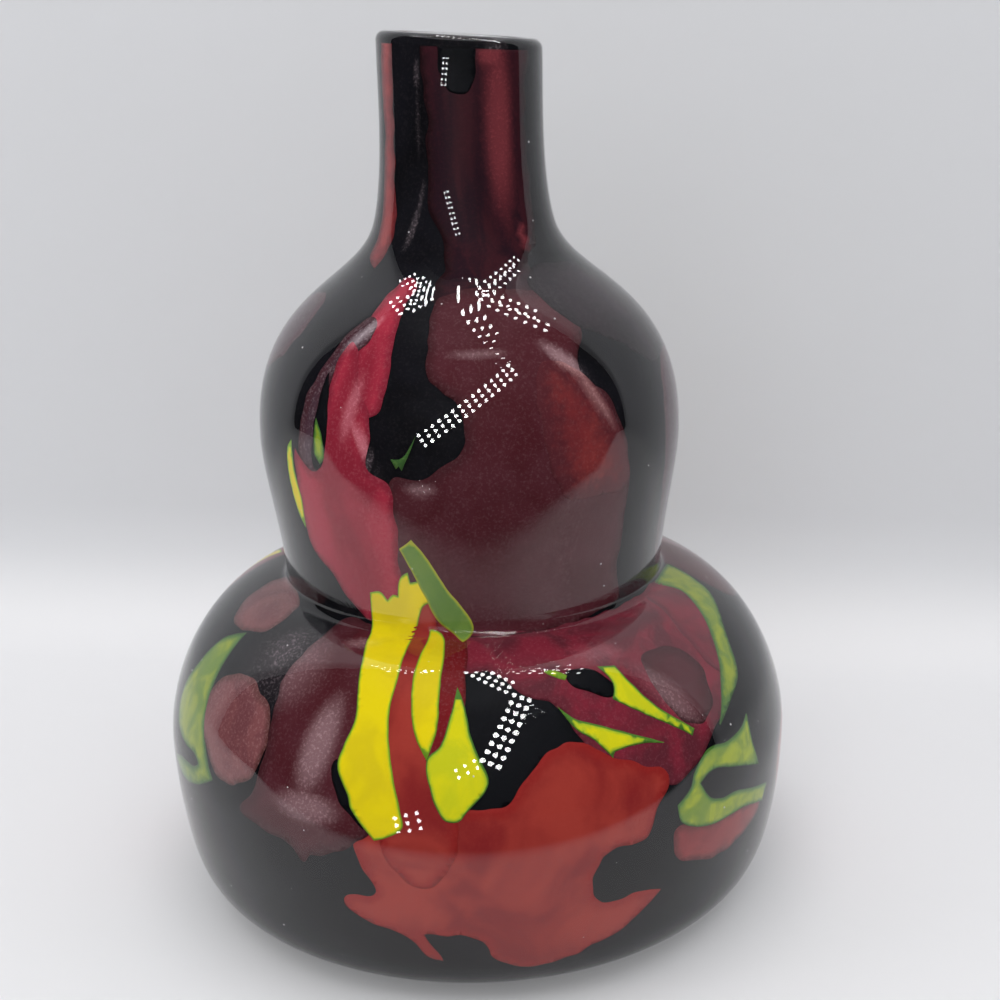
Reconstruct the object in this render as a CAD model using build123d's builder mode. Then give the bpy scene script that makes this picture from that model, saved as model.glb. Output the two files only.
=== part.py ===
# Gourd vase: a hand-blown double-bulb vase of cased glass.
#
# It is built up the way a glassmaker builds it, from the inside out: a dark inner gather
# that holds the water, a thin layer of coloured glass over it, in which every chip is its
# own piece set flush in a black ground, and a thick clear gather over everything.
# The clear glass also closes the lip and makes the heavy foot.
#
# Frame: millimetres, +Z up, the origin at the centre of the foot, the front faces -Y.
# A turn is in degrees round the vase from the front, positive towards +X.

import os
from math import cos, radians, sin

from build123d import *

# Overall outline of the clear glass, from the foot up
height = 245
foot_radius = 50
heel_radius, heel_height = 88, 16
lower_bulb_radius, lower_bulb_height = 92, 49
waist_radius, waist_height = 55, 97
waist_fold_radius = 3
upper_bulb_radius, upper_bulb_height = 60, 138
neck_base_radius, neck_base_height = 25, 196
lip_radius = 22.3
lip_band = 6

# Headings of the outline, in degrees from level: 90 climbs straight up, 180 runs inwards
foot_heading = 13
heel_heading = 72
upright = 90
shoulder_heading = 172
waist_heading = 86
neck_heading = 105

# How far the outline holds its heading on each side of a station
foot_run = 25
heel_run_below, heel_run_above = 15, 8
lower_bulb_run_below, lower_bulb_run_above = 11, 19
shoulder_run, waist_run = 21, 16
upper_bulb_run_below, upper_bulb_run_above = 10.5, 40
neck_run_below, neck_run_above = 17.5, 12.5
lip_run = 12

# Wall, from the outside in
casing_thickness = 3.5
colour_thickness = 1
lining_thickness = 1.5

# Lip and foot
lip_outer_round = 2.6
lip_inner_round = 1.8
lip_cap = 2
floor_rise = 5
floor_run = 16
pontil_radius = 15
pontil_depth = 1.6
foot_edge_round = 0.8

# Clearance for cuts that run past a face, and between chips that are cut against each other
overrun = 4
near_turn = 4
near_share = 0.01

colour_depth = casing_thickness
lining_depth = colour_depth + colour_thickness
hollow_depth = lining_depth + lining_thickness
layer_top = height - lip_cap


def heading(degrees, length):
    return Vector(cos(radians(degrees)) * length, sin(radians(degrees)) * length)


def outward(degrees, length):
    # square to a heading, on the outer side of the wall
    return Vector(sin(radians(degrees)) * length, -cos(radians(degrees)) * length)


waist_centre = Vector(waist_radius + waist_fold_radius, waist_height)
floor_centre = Vector(0, floor_rise)
foot_edge = Vector(foot_radius, 0)
heel = Vector(heel_radius, heel_height)
lower_bulb = Vector(lower_bulb_radius, lower_bulb_height)
shoulder_end = waist_centre - outward(shoulder_heading, waist_fold_radius)
waist_start = waist_centre - outward(waist_heading, waist_fold_radius)
upper_bulb = Vector(upper_bulb_radius, upper_bulb_height)
neck_base = Vector(neck_base_radius, neck_base_height)
lip_start = Vector(lip_radius, height - lip_band)


def inset(span, depth):
    # the same span this far inside the wall: each leg of its control line moves square to itself
    legs = []
    for start, end in zip(span, span[1:]):
        along = (end - start).normalized()
        legs.append((start - Vector(along.Y, -along.X) * depth, along))
    points = [legs[0][0]]
    for (first, first_way), (second, second_way) in zip(legs, legs[1:]):
        turn = first_way.X * second_way.Y - first_way.Y * second_way.X
        gap = second - first
        reach = (gap.X * second_way.Y - gap.Y * second_way.X) / turn
        points.append(first + first_way * reach)
    last_start, last_way = legs[-1]
    points.append(last_start + last_way * (span[-1] - span[-2]).length)
    return points


def span_between(start, start_heading, start_run, end, end_heading, end_run):
    return [start, start + heading(start_heading, start_run), end - heading(end_heading, end_run), end]


floor_span = span_between(floor_centre, 0, floor_run, foot_edge, foot_heading, floor_run)
lower_spans = [
    span_between(foot_edge, foot_heading, foot_run, heel, heel_heading, heel_run_below),
    span_between(heel, heel_heading, heel_run_above, lower_bulb, upright, lower_bulb_run_below),
    span_between(lower_bulb, upright, lower_bulb_run_above, shoulder_end, shoulder_heading, shoulder_run),
]
upper_spans = [
    span_between(waist_start, waist_heading, waist_run, upper_bulb, upright, upper_bulb_run_below),
    span_between(upper_bulb, upright, upper_bulb_run_above, neck_base, neck_heading, neck_run_below),
    span_between(neck_base, neck_heading, neck_run_above, lip_start, upright, lip_run),
]


def draw_wall(depth, top):
    # draws the wall's line at this depth into the open BuildLine, from the foot edge to the top
    for span in lower_spans:
        Bezier(*inset(span, depth))
    fold = waist_fold_radius + depth
    fold_start = waist_centre - outward(shoulder_heading, fold)
    fold_end = waist_centre - outward(waist_heading, fold)
    fold_middle = waist_centre - outward((shoulder_heading + waist_heading) / 2, fold)
    ThreePointArc(fold_start, fold_middle, fold_end)
    for span in upper_spans:
        Bezier(*inset(span, depth))
    Line((lip_radius - depth, height - lip_band), (lip_radius - depth, top))


def draw_core(depth, top):
    # closes the wall's line over the floor and along the axis
    floor = inset(floor_span, depth)
    Bezier(*floor)
    draw_wall(depth, top)
    Polyline((lip_radius - depth, top), (0, top), floor[0])


# The whole vase as one clear body, with its flat foot, ground pontil and fire-polished lip
with BuildPart() as outer_body:
    with BuildSketch(Plane.XZ) as outer_section:
        with BuildLine():
            draw_wall(0, height)
            Polyline((lip_radius, height), (0, height), (0, 0), (foot_radius, 0))
        make_face()
        lip_corner = outer_section.vertices().group_by(Axis.Y)[-1].sort_by(Axis.X)[-1]
        fillet(lip_corner, lip_outer_round)
        foot_corner = outer_section.vertices().group_by(Axis.Y)[0].sort_by(Axis.X)[-1]
        fillet(foot_corner, foot_edge_round)
    revolve(axis=Axis.Z)

# What the coloured layer and all that is inside it fills
with BuildPart() as colour_body:
    with BuildSketch(Plane.XZ):
        with BuildLine():
            draw_core(colour_depth, layer_top)
        make_face()
    revolve(axis=Axis.Z)

with BuildPart() as lining_body:
    with BuildSketch(Plane.XZ):
        with BuildLine():
            draw_core(lining_depth, layer_top)
        make_face()
    revolve(axis=Axis.Z)

with BuildPart() as hollow:
    with BuildSketch(Plane.XZ):
        with BuildLine():
            draw_core(hollow_depth, height + overrun)
        make_face()
    revolve(axis=Axis.Z)

# Outlines of the chips of coloured glass, first the ones that lie on top.
# Each point is a turn in degrees and a share of the way up the wall from foot to lip.
chip_outline_shares = {
    # the front of the lower bulb
    "green_strip": [
        (-19, 0.535), (-15.5, 0.545), (-12, 0.53), (-7, 0.50), (0.5, 0.46), (-2.5, 0.44),
        (-5, 0.452), (-10, 0.468), (-13, 0.49), (-16.5, 0.517),
    ],
    "yellow_finger": [
        (-12, 0.457), (-8.5, 0.452), (-7, 0.432), (-6.7, 0.40), (-6.5, 0.35), (-8, 0.325),
        (-10, 0.34), (-11.5, 0.36), (-12.8, 0.40),
    ],
    "yellow_wing": [
        (-30, 0.487), (-21, 0.487), (-20, 0.505), (-14, 0.505), (-11.5, 0.484), (-13.5, 0.476),
        (-16.5, 0.447), (-16, 0.39), (-15, 0.334), (-13.5, 0.306), (-12, 0.266), (-16.5, 0.255),
        (-20.5, 0.278), (-24, 0.312), (-22.5, 0.353), (-24, 0.38), (-26, 0.405), (-30, 0.45),
    ],
    "lime_petal": [
        (-3, 0.388), (-1.5, 0.37), (0, 0.338), (2.5, 0.309), (2, 0.30), (-1.2, 0.283),
        (-2.6, 0.275), (-5, 0.277), (-7.5, 0.305), (-8, 0.325), (-5.7, 0.337), (-4.3, 0.36),
    ],
    "wine_tongue": [
        (-10.5, 0.476), (-3, 0.458), (-1, 0.42), (-1.5, 0.40), (-1.5, 0.37), (-4, 0.342),
        (-6.5, 0.322), (-7.5, 0.318), (-9.2, 0.338), (-9.7, 0.36), (-9.7, 0.43),
    ],
    "red_tongue": [
        (-15, 0.485), (-12.5, 0.492), (-9.5, 0.47), (-9, 0.43), (-8, 0.37), (-6.5, 0.325),
        (-5.5, 0.305), (-3, 0.28), (-3, 0.249), (-5, 0.228), (-8, 0.215), (-12, 0.222),
        (-15.5, 0.25), (-15, 0.27), (-17.5, 0.334), (-18.5, 0.39), (-18.5, 0.447),
    ],
    "lime_wedge": [
        (16.5, 0.363), (19.3, 0.35), (24.5, 0.339), (35.5, 0.312), (30.5, 0.3175), (25.3, 0.317),
        (24.7, 0.312), (22, 0.33), (19, 0.342),
    ],
    "yellow_splinter": [(15.8, 0.397), (18, 0.396), (20.5, 0.389), (19.7, 0.385), (16.5, 0.393)],
    "lime_spoon": [
        (28, 0.391), (32, 0.388), (33, 0.372), (36.5, 0.343), (43, 0.313), (42, 0.308),
        (39, 0.32), (32.5, 0.343), (28, 0.36), (29.5, 0.373),
    ],
    "black_chip": [(21, 0.394), (27, 0.388), (29.5, 0.373), (28, 0.362), (23.5, 0.371), (20, 0.385)],
    "green_hook": [
        (71, 0.447), (82, 0.443), (90, 0.432), (84, 0.41), (80, 0.392), (73, 0.377), (67, 0.36),
        (61.5, 0.33), (55.5, 0.318), (49.5, 0.304), (54, 0.33), (57, 0.345), (62, 0.37),
        (66.5, 0.39), (69.5, 0.403), (72.5, 0.42),
    ],
    "crimson_panel": [
        (63, 0.448), (73, 0.445), (75, 0.42), (72, 0.401), (68.5, 0.386), (63.5, 0.366),
        (57.5, 0.34), (54.5, 0.358), (54.5, 0.385), (57, 0.412),
    ],
    "lime_scroll": [
        (58.5, 0.297), (58, 0.273), (59.5, 0.247), (50, 0.265), (45, 0.272), (41.5, 0.266),
        (43.5, 0.249), (47, 0.241), (51, 0.239), (59, 0.225), (64, 0.217), (62.5, 0.202),
        (54, 0.217), (45, 0.221), (40.5, 0.227), (36.5, 0.24), (36, 0.255), (39, 0.264),
        (41, 0.279), (45, 0.29), (50, 0.287), (55, 0.289),
    ],
    "green_crescent": [
        (-63, 0.385), (-69, 0.367), (-72, 0.335), (-74.5, 0.30), (-72, 0.275), (-65, 0.267),
        (-60, 0.268), (-58, 0.262), (-60, 0.255), (-68, 0.248), (-72, 0.238), (-66, 0.232),
        (-58, 0.243), (-52.5, 0.258), (-55, 0.272), (-58.5, 0.298), (-60, 0.315), (-61.5, 0.342),
    ],
    "mauve_oval": [
        (39, 0.385), (45, 0.39), (50, 0.38), (52, 0.355), (50, 0.328), (46, 0.315), (41.5, 0.322),
        (38.5, 0.35),
    ],
    "maroon_leaf": [
        (-68, 0.453), (-61, 0.437), (-57.5, 0.415), (-58, 0.397), (-63, 0.387), (-69, 0.381),
        (-76, 0.39), (-82, 0.412), (-84, 0.443),
    ],
    "black_barb": [
        (-25.5, 0.307), (-23.5, 0.318), (-20, 0.285), (-18, 0.262), (-21.5, 0.268), (-24, 0.284),
    ],
    "maroon_cloud": [
        (-51, 0.357), (-56, 0.352), (-60, 0.335), (-60, 0.30), (-56, 0.282), (-52, 0.267),
        (-47, 0.265), (-41, 0.285), (-40, 0.328), (-46, 0.35),
    ],
    "maroon_cloak": [
        (-41, 0.449), (-27, 0.449), (-26, 0.43), (-22.5, 0.39), (-20.5, 0.35), (-21, 0.31),
        (-18, 0.275), (-17, 0.26), (-19.5, 0.25), (-24.5, 0.236), (-28.5, 0.229),
        (-30, 0.219), (-32, 0.232), (-37, 0.238), (-44, 0.247), (-42, 0.26), (-40, 0.28),
        (-40, 0.33), (-42, 0.37), (-41, 0.42),
    ],
    "red_front": [
        (-20, 0.252), (-18.5, 0.225), (-17, 0.203), (-22, 0.195), (-21.5, 0.18), (-16, 0.17),
        (-12, 0.16), (-9, 0.143), (-6, 0.136), (-7.5, 0.15), (-9, 0.165), (0, 0.162),
        (2.5, 0.14), (7, 0.125), (15, 0.128), (21, 0.14), (27, 0.152), (33, 0.178),
        (28, 0.182), (22, 0.18), (19.5, 0.197), (20, 0.22), (23, 0.234), (29, 0.236),
        (31.5, 0.26), (35, 0.285), (30, 0.30), (24.7, 0.313), (20, 0.328), (14, 0.329),
        (9, 0.306), (5, 0.287), (-2.5, 0.282), (-10, 0.275), (-17, 0.264),
    ],
    "crimson_shoulder": [
        (-3, 0.449), (20, 0.449), (40, 0.449), (66, 0.449), (60, 0.412), (57, 0.38),
        (57.5, 0.34), (52, 0.314), (47, 0.30), (42, 0.286), (36, 0.274), (30, 0.292),
        (24, 0.306), (20, 0.332), (16, 0.366), (10, 0.378), (4, 0.40), (-2.5, 0.405),
    ],
    "rose_heel": [
        (35.5, 0.232), (41, 0.227), (48, 0.222), (56, 0.216), (61, 0.205), (58, 0.19),
        (48, 0.183), (41, 0.19), (36, 0.205),
    ],
    "black_pool": [
        (-3, 0.41), (2, 0.42), (10, 0.39), (18, 0.375), (26, 0.33), (26, 0.315), (13, 0.32),
        (8, 0.295), (3, 0.278), (-2, 0.279),
    ],
    # the front of the upper bulb and the neck
    "green_fan": [
        (-13, 0.637), (-19.5, 0.618), (-18, 0.611), (-16, 0.607), (-14.5, 0.61), (-11.5, 0.63),
    ],
    "lime_needle": [(-43.5, 0.643), (-41, 0.63), (-40, 0.61), (-41.5, 0.604), (-43.5, 0.613)],
    "yellow_thread": [
        (-53.5, 0.618), (-52.5, 0.59), (-51, 0.565), (-52, 0.537), (-54, 0.55), (-55.5, 0.58),
        (-55.5, 0.61),
    ],
    "black_lens": [
        (-42, 0.682), (-40, 0.66), (-39.5, 0.64), (-40.5, 0.604), (-43.5, 0.60), (-44, 0.63),
        (-43.5, 0.66),
    ],
    "red_band": [
        (-38, 0.712), (-33, 0.693), (-31, 0.672), (-27, 0.655), (-25.5, 0.633), (-26.5, 0.607),
        (-20.5, 0.592), (-19, 0.571), (-19.5, 0.53), (-20, 0.49), (-20, 0.458), (-32, 0.458),
        (-39, 0.48), (-45, 0.502), (-51, 0.52), (-51.5, 0.56), (-51.5, 0.612), (-46, 0.598),
        (-42, 0.60), (-41, 0.64), (-40.5, 0.69),
    ],
    "mauve_ribbon": [
        (-34, 0.738), (-40, 0.728), (-43, 0.706), (-45.5, 0.685), (-48, 0.665), (-49.5, 0.64),
        (-50, 0.612), (-46, 0.595), (-41.5, 0.60), (-40.5, 0.635), (-41, 0.655), (-40, 0.675),
        (-38, 0.695), (-34, 0.706), (-31.5, 0.718),
    ],
    "mauve_shoulder": [
        (33, 0.785), (34.5, 0.75), (39, 0.73), (43, 0.718), (54, 0.697), (68, 0.672),
        (82, 0.685), (88, 0.72), (80, 0.765), (62, 0.79),
    ],
    "red_panel": [
        (24, 0.695), (33, 0.685), (38, 0.668), (42.5, 0.64), (45.5, 0.61), (46, 0.578),
        (35, 0.573), (26.5, 0.578), (22.5, 0.60), (20, 0.64), (19.5, 0.67),
    ],
    "maroon_body": [
        (-9.5, 0.765), (36, 0.765), (38, 0.742), (42, 0.722), (36, 0.70), (35, 0.68),
        (41, 0.66), (44, 0.635), (46.5, 0.60), (47, 0.55), (46.5, 0.50), (47, 0.458),
        (-23, 0.458), (-22, 0.53), (-21.5, 0.571), (-20, 0.598), (-10.5, 0.602),
        (-4.5, 0.615), (0, 0.635), (-3, 0.665), (-10, 0.685), (-11.5, 0.71),
    ],
    "black_wedge": [(-13, 1), (-1, 1), (10.5, 1), (9.5, 0.957), (-10, 0.954)],
    "maroon_neck": [
        (-9.5, 0.755), (34, 0.755), (37, 0.80), (52, 0.82), (57, 0.86), (56, 0.95), (57, 1),
        (17, 1), (-24, 1), (-25, 0.93), (-24, 0.86), (-14, 0.83), (-11, 0.80),
    ],
    "rose_neck": [
        (-58, 1), (-59, 0.93), (-57, 0.87), (-52, 0.83), (-54, 0.79), (-66, 0.80), (-72, 0.85),
        (-74, 0.92), (-73, 1),
    ],
    "red_sheen": [
        (-22, 0.775), (-24, 0.75), (-22, 0.70), (-23, 0.655), (-29, 0.65), (-34, 0.68),
        (-36.5, 0.70), (-36.5, 0.73), (-34, 0.765), (-29, 0.785),
    ],
    # the right side, the back and the left side of the lower bulb
    "maroon_side": [
        (94, 0.445), (118, 0.45), (134, 0.43), (139, 0.39), (128, 0.365), (117, 0.352),
        (106, 0.362), (96, 0.35), (86, 0.37), (84, 0.40),
    ],
    "red_heel": [
        (72, 0.235), (84, 0.257), (98, 0.25), (109, 0.222), (112, 0.185), (100, 0.155),
        (86, 0.15), (75, 0.178),
    ],
    "yellow_blade": [
        (158, 0.447), (166, 0.44), (169.5, 0.41), (167, 0.37), (171, 0.33), (176, 0.29),
        (174, 0.25), (167, 0.216), (161, 0.23), (158, 0.27), (153, 0.30), (155, 0.34),
        (153, 0.38), (152, 0.42),
    ],
    "green_leaf": [
        (182, 0.42), (189, 0.43), (196, 0.405), (201, 0.36), (206, 0.305), (201, 0.308),
        (195, 0.337), (190, 0.367), (184, 0.385),
    ],
    "lime_comma": [
        (226, 0.35), (236, 0.366), (246, 0.35), (252, 0.31), (249, 0.27), (241, 0.257),
        (243.5, 0.29), (240, 0.318), (232, 0.327), (225, 0.33),
    ],
    "red_back": [
        (120, 0.30), (126, 0.343), (139, 0.362), (152, 0.35), (163, 0.36), (178, 0.342),
        (190, 0.305), (197, 0.25), (188, 0.21), (176, 0.19), (168, 0.20), (158, 0.175),
        (143, 0.165), (131, 0.18), (127, 0.21), (117, 0.245),
    ],
    "yellow_hook": [
        (248, 0.40), (257, 0.412), (263, 0.37), (266, 0.32), (262, 0.277), (255, 0.288),
        (257.5, 0.33), (253, 0.362),
    ],
    "crimson_back": [
        (200, 0.442), (222, 0.449), (243, 0.442), (258, 0.40), (262, 0.35), (257, 0.30),
        (244, 0.27), (231, 0.28), (221, 0.257), (212, 0.27), (203, 0.30), (198.5, 0.355),
        (193, 0.40),
    ],
    "rose_back": [
        (205, 0.24), (222, 0.235), (238, 0.215), (241, 0.17), (226, 0.142), (208, 0.15),
        (199, 0.19),
    ],
    "red_side": [
        (248, 0.245), (262, 0.252), (275, 0.236), (283, 0.205), (279, 0.17), (266, 0.152),
        (252, 0.163), (246, 0.20),
    ],
    # the same sides of the upper bulb and the neck
    "mauve_side": [
        (70, 0.658), (84, 0.672), (98, 0.65), (102, 0.58), (96, 0.52), (88, 0.475),
        (74, 0.47), (69, 0.53), (66, 0.60),
    ],
    "yellow_chip": [
        (140, 0.66), (150, 0.675), (158, 0.655), (155, 0.615), (148, 0.585), (143, 0.60),
        (141.5, 0.63),
    ],
    "green_chip": [
        (156, 0.658), (167, 0.65), (173, 0.62), (170, 0.57), (163, 0.545), (161, 0.58),
        (153, 0.607),
    ],
    "maroon_back": [
        (104, 0.68), (110, 0.73), (126, 0.762), (150, 0.768), (178, 0.76), (196, 0.73),
        (202, 0.68), (196, 0.63), (187, 0.58), (181, 0.52), (176, 0.465), (122, 0.465),
        (115, 0.53), (111, 0.60),
    ],
    "lime_splinter": [(222, 0.66), (228, 0.665), (230.5, 0.62), (226, 0.575), (221, 0.605)],
    "red_sail": [
        (212, 0.72), (228, 0.735), (243, 0.71), (250, 0.66), (247, 0.60), (240, 0.54),
        (236, 0.475), (214, 0.47), (209, 0.53), (205, 0.60), (205, 0.67),
    ],
    "mauve_flank": [
        (-100, 0.70), (-88, 0.735), (-72, 0.745), (-66, 0.725), (-68, 0.69), (-80, 0.665),
        (-93, 0.66),
    ],
    "maroon_nape": [
        (100, 0.81), (120, 0.80), (150, 0.803), (168, 0.83), (172, 0.87), (169, 0.93), (172, 1),
        (98, 1), (101, 0.93), (96, 0.87),
    ],
    "red_nape": [(205, 0.83), (222, 0.815), (239, 0.83), (243, 0.90), (238, 1), (204, 1), (208, 0.91)],
}

with BuildLine() as layer_line:
    draw_wall(colour_depth, height)
layer_wire = layer_line.wire()


def on_layer(turn, wall_share):
    # the place on the coloured layer's outer face at this turn and share of the wall
    place = layer_wire @ wall_share
    return Vector(place.X * sin(radians(turn)), -place.X * cos(radians(turn)), place.Y)


def facing_plane(turn, wall_share):
    # a plane that touches the coloured layer there and faces outwards
    climb = layer_wire % wall_share
    outwards = Vector(climb.Y * sin(radians(turn)), -climb.Y * cos(radians(turn)), -climb.X)
    level = Vector(cos(radians(turn)), sin(radians(turn)), 0)
    return Plane(on_layer(turn, wall_share), x_dir=level, z_dir=outwards)


def chip_cutter(outline_shares):
    # a straight-sided block that holds one chip's outline, square to the middle of the chip
    turns, wall_shares = zip(*outline_shares)
    middle = facing_plane(sum(turns) / len(turns), sum(wall_shares) / len(wall_shares))
    corners = [middle.to_local_coords(on_layer(*point)) for point in outline_shares]
    nearest = max(0, *(corner.Z for corner in corners)) + overrun
    furthest = min(corner.Z for corner in corners) - overrun
    with BuildPart() as cutter:
        with BuildSketch(middle.offset(nearest)):
            with BuildLine():
                Polyline(*((corner.X, corner.Y) for corner in corners), close=True)
            make_face()
        extrude(amount=furthest - nearest)
    return cutter.part


def near(first, second):
    # whether two outlines come within the clearance of each other
    first_turns, first_shares = zip(*first)
    second_turns, second_shares = zip(*second)
    turns_between = max(min(first_turns), min(second_turns)) - min(max(first_turns), max(second_turns))
    shares_between = max(min(first_shares), min(second_shares)) - min(max(first_shares), max(second_shares))
    return turns_between < near_turn and shares_between < near_share


os.makedirs("parts", exist_ok=True)

# Clear gather, from the foot to the lip
with BuildPart() as clear_casing:
    add(outer_body.part)
    add(colour_body.part, mode=Mode.SUBTRACT)
    add(hollow.part, mode=Mode.SUBTRACT)
    with BuildSketch(Plane.XZ):
        with BuildLine():
            Bezier((0, pontil_depth), (pontil_radius / 2, pontil_depth), (pontil_radius, 0))
            Polyline((pontil_radius, 0), (0, 0), (0, pontil_depth))
        make_face()
    revolve(axis=Axis.Z, mode=Mode.SUBTRACT)
    top_edges = clear_casing.edges().filter_by(GeomType.CIRCLE).group_by(Axis.Z)[-1]
    fillet(top_edges.sort_by(SortBy.RADIUS)[0], lip_inner_round)
clear_casing.part.label = "clear_casing"
export_step(clear_casing.part, "parts/clear_casing.step")

# Inner gather, which holds the water
with BuildPart() as inner_lining:
    add(lining_body.part)
    add(hollow.part, mode=Mode.SUBTRACT)
inner_lining.part.label = "inner_lining"
export_step(inner_lining.part, "parts/inner_lining.step")

# Coloured layer, and in it the chips: each one is cut away wherever a chip lies on it
with BuildPart() as coloured_layer:
    add(colour_body.part)
    add(lining_body.part, mode=Mode.SUBTRACT)

cutters = {chip_name: chip_cutter(outline) for chip_name, outline in chip_outline_shares.items()}

chips_above = []
for chip_name, outline in chip_outline_shares.items():
    covers = [cutters[above] for above in chips_above if near(chip_outline_shares[above], outline)]
    with BuildPart() as chip:
        add(coloured_layer.part)
        add(cutters[chip_name], mode=Mode.INTERSECT)
        if covers:
            add(covers, mode=Mode.SUBTRACT)
    chip.part.label = chip_name
    export_step(chip.part, f"parts/{chip_name}.step")
    chips_above.append(chip_name)

# Black ground, with a bed for every chip
with BuildPart() as black_ground:
    add(coloured_layer.part)
    add(list(cutters.values()), mode=Mode.SUBTRACT)
black_ground.part.label = "black_ground"
export_step(black_ground.part, "parts/black_ground.step")
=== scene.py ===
import math
import re

import bpy
from mathutils import Matrix, Vector, geometry, noise


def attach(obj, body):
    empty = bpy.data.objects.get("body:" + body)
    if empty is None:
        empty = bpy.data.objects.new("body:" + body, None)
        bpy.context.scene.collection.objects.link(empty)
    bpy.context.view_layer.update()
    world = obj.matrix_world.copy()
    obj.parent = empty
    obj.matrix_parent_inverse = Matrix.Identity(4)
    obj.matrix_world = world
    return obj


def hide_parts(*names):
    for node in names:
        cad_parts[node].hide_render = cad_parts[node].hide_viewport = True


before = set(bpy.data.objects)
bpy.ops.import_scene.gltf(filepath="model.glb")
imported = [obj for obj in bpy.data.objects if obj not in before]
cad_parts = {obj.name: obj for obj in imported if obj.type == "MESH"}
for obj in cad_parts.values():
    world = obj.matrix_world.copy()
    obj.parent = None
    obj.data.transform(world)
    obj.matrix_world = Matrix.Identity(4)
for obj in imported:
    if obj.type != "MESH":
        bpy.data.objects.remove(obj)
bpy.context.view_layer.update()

# The vase is blown from three gathers: a dark inner bubble, a black coat with colour chips
# rolled into it, and a thick clear gather. Sizes are in millimetres until a mesh is made.
mm = 0.001


def hexColour(code):
    # sRGB hex to the linear values that the shader sockets take
    parts = [int(code[i:i + 2], 16) / 255 for i in (1, 3, 5)]
    linear = [c / 12.92 if c <= 0.04045 else ((c + 0.055) / 1.055) ** 2.4 for c in parts]
    return (*linear, 1)


def addNode(tree, kind, settings=None, **links):
    # one node: its properties, then each input as a value or as the socket that feeds it
    node = tree.nodes.new(kind)
    for name, value in (settings or {}).items():
        setattr(node, name, value)
    for name, value in links.items():
        numbered = name[1:].isdigit()
        socket = node.inputs[int(name[1:]) if numbered else name.replace("_", " ")]
        if isinstance(value, bpy.types.NodeSocket):
            tree.links.new(value, socket)
        else:
            socket.default_value = value
    return node


def maths(tree, operation, *values):
    inputs = {"_" + str(k): value for k, value in enumerate(values)}
    return addNode(tree, "ShaderNodeMath", {"operation": operation}, **inputs).outputs[0]


def smoothStep(tree, value, low, high, most=1.0):
    # from 0 at low to most at high
    return addNode(tree, "ShaderNodeMapRange", {"interpolation_type": "SMOOTHSTEP"},
                   _0=value, _1=low, _2=high, _4=most).outputs[0]


def mixColour(tree, share, low, high):
    # each end is a hex colour or a socket
    low, high = [hexColour(end) if isinstance(end, str) else end for end in (low, high)]
    return addNode(tree, "ShaderNodeMix", {"data_type": "RGBA"}, Factor=share, _6=low,
                   _7=high).outputs[2]


def mixShader(tree, share, first, second):
    return addNode(tree, "ShaderNodeMixShader", _0=share, _1=first, _2=second).outputs[0]


def noiseOf(tree, place, size, detail, **more):
    # noise whose forms are about this many millimetres across
    return addNode(tree, "ShaderNodeTexNoise", Vector=place, Scale=1 / (size * mm), Detail=detail,
                   **more).outputs["Fac"]


def pointMark(tree, name):
    return addNode(tree, "ShaderNodeAttribute", {"attribute_name": name}).outputs["Fac"]


def oneSided(tree, front):
    # seen from behind, the surface lets everything through
    behind = addNode(tree, "ShaderNodeNewGeometry").outputs["Backfacing"]
    through = addNode(tree, "ShaderNodeBsdfTransparent").outputs[0]
    return mixShader(tree, behind, front, through)


def newMaterial(name):
    material = bpy.data.materials.new(name)
    material.use_nodes = True
    material.node_tree.nodes.clear()
    return material, material.node_tree


def dress(tree, shader):
    addNode(tree, "ShaderNodeOutputMaterial", Surface=shader)


def addObject(name, data):
    made = bpy.data.objects.new(name, data)
    bpy.context.scene.collection.objects.link(made)
    return made


def meshObject(name, points, faces, material, smooth=True):
    mesh = bpy.data.meshes.new(name)
    mesh.from_pydata([Vector(p) * mm for p in points], [], faces)
    mesh.materials.append(material)
    if smooth:
        mesh.shade_smooth()
    mesh.validate()
    return addObject(name, mesh)


def blend(low, high, value):
    # smooth step from 0 at low to 1 at high
    share = min(1, max(0, (value - low) / (high - low)))
    return share * share * (3 - 2 * share)


# The outline of the clear glass, the same one that the solids are turned from
outline = {
    "height": 245, "footRadius": 50, "heel": (88, 16), "lowerBulb": (92, 49), "waist": (55, 97),
    "waistFold": 3, "upperBulb": (60, 138), "neckBase": (25, 196), "lipRadius": 22.3,
    "lipBand": 6, "lipCap": 2, "floorRise": 5, "floorRun": 16,
}
heading = {
    "level": 0, "foot": 13, "heel": 72, "upright": 90, "shoulder": 172, "waist": 86, "neck": 105,
}
run = {
    "foot": 25, "heelBelow": 15, "heelAbove": 8, "bulbBelow": 11, "bulbAbove": 19,
    "shoulder": 21, "waist": 16, "upperBelow": 10.5, "upperAbove": 40,
    "neckBelow": 17.5, "neckAbove": 12.5, "lip": 12,
}
wall = {"clear": 3.5, "colour": 1, "lining": 1.5}
steps = {
    "span": 26, "fold": 8, "lip": 4, "floor": 14, "corner": 6, "pontil": 6, "lipOuter": 9,
    "lipInner": 7, "round": 180, "coatRound": 240,
}
layerTop = outline["height"] - outline["lipCap"]
coatDepth = wall["clear"]
liningDepth = coatDepth + wall["colour"]
hollowDepth = liningDepth + wall["lining"]


def towards(degrees, length):
    angle = math.radians(degrees)
    return Vector((math.cos(angle) * length, math.sin(angle) * length))


def squareOut(degrees, length):
    angle = math.radians(degrees)
    return Vector((math.sin(angle) * length, -math.cos(angle) * length))


def span(start, startHeading, startRun, end, endHeading, endRun):
    start, end = Vector(start), Vector(end)
    return [start, start + towards(heading[startHeading], startRun),
            end - towards(heading[endHeading], endRun), end]


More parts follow.
